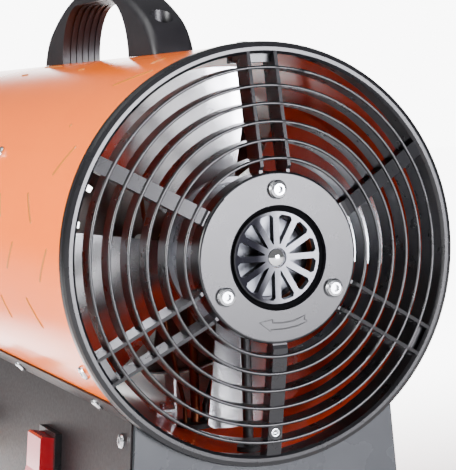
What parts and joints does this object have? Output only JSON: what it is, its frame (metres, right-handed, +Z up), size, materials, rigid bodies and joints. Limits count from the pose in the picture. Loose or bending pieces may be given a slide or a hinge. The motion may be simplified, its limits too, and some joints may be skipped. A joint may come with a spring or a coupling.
{
  "type": "gas forced air heater",
  "caption": "Cylindrical forced air heater on a sheet metal base: domed ring guard over motor and fan, flame tube inside, carrying handle and side controls.",
  "frame": {"origin": "centre of the overall box at floor level, under the feet", "axes": "+Y along the shell from the inlet guard to the outlet, +Z up, +X to the right seen from behind the inlet"},
  "size_m": [0.239, 0.5154, 0.3665],
  "materials": {
    "orange_paint": "smooth gloss paint on rolled steel",
    "guard_plastic": "moulded, fine satin grain",
    "handle_plastic": "moulded, satin",
    "panel_paint": "fine textured powder coat",
    "plate_steel": "satin grey coat",
    "zinc_steel": "zinc plated, satin",
    "bare_steel": "turned",
    "motor_metal": "die cast, fine blasted",
    "core_steel": "stacked sheets",
    "winding_copper": "enamelled wire",
    "chrome_cap": "polished",
    "bush_bronze": "oiled sintered bronze",
    "blade_aluminium": "pressed sheet, bright",
    "tube_steel": "aluminised, satin",
    "burner_steel": "heat darkened",
    "valve_brass": "machined",
    "pipe_copper": "drawn copper",
    "black_rubber": "soft matt",
    "lead_rubber": "smooth sleeve",
    "spark_ceramic": "glazed",
    "guard_wire": "black coated wire",
    "switch_black": "smooth moulded",
    "rocker_red": "smooth tinted moulding",
    "button_red": "smooth moulded",
    "button_black": "smooth moulded",
    "block_white": "moulded nylon"
  },
  "bodies": {
    "frame": {"outer_shell": "orange_paint", "inlet_guard": "guard_plastic", "guard_screws": "zinc_steel", "motor_screws": "zinc_steel", "motor_rear_bell": "motor_metal", "bearing_cap": "chrome_cap", "rear_bush": "bush_bronze", "motor_can": "bare_steel", "stator_core": "core_steel", "stator_windings": "winding_copper", "motor_front_bell": "motor_metal", "front_bush": "bush_bronze", "flame_tube": "tube_steel", "tube_brackets": "zinc_steel", "tube_screws": "zinc_steel", "burner_plate": "burner_steel", "burner_cup": "burner_steel", "gas_nozzle": "valve_brass", "gas_pipe": "pipe_copper", "pipe_grommet": "black_rubber", "thermocouple": "valve_brass", "thermocouple_lead": "pipe_copper", "igniter_electrode": "spark_ceramic", "igniter_lead": "lead_rubber", "outlet_guard": "guard_wire", "handle": "handle_plastic", "handle_screws": "zinc_steel", "control_panel": "panel_paint", "right_panel": "panel_paint", "rear_plate": "plate_steel", "front_plate": "plate_steel", "base_tray": "plate_steel", "rubber_feet": "black_rubber", "foot_screws": "zinc_steel", "panel_screws": "zinc_steel", "switch_body": "switch_black", "gas_valve_body": "valve_brass", "gas_inlet": "valve_brass", "piezo_body": "switch_black", "terminal_block": "block_white", "motor_cable": "lead_rubber", "cable_gland": "switch_black"},
    "rotor": {"rotor_core": "core_steel", "motor_shaft": "bare_steel", "fan_hub": "motor_metal", "fan_blades": "blade_aluminium", "fan_nut": "zinc_steel"},
    "rocker": {"switch_rocker": "rocker_red"},
    "gas_button": {"valve_button": "button_red"},
    "igniter_button": {"piezo_button": "button_black"}
  },
  "joints": [
    {"name": "fan_spin", "type": "hinge", "parent": "frame", "child": "rotor", "pos_m": [0, -0.1823, 0.19801], "axis": [0, 1, 0], "continuous": true},
    {"name": "rocker_tilt", "type": "hinge", "parent": "frame", "child": "rocker", "pos_m": [-0.08281, -0.0883, 0.05545], "axis": [0, -1, 0], "range_deg": [0, 16]},
    {"name": "gas_button_press", "type": "slide", "parent": "frame", "child": "gas_button", "axis": [0.9971, 0, -0.0767], "range_m": [0, 0.006], "stiffness_N_per_m": 900},
    {"name": "igniter_button_press", "type": "slide", "parent": "frame", "child": "igniter_button", "axis": [0.9971, 0, -0.0767], "range_m": [0, 0.007], "stiffness_N_per_m": 700}
  ]
}
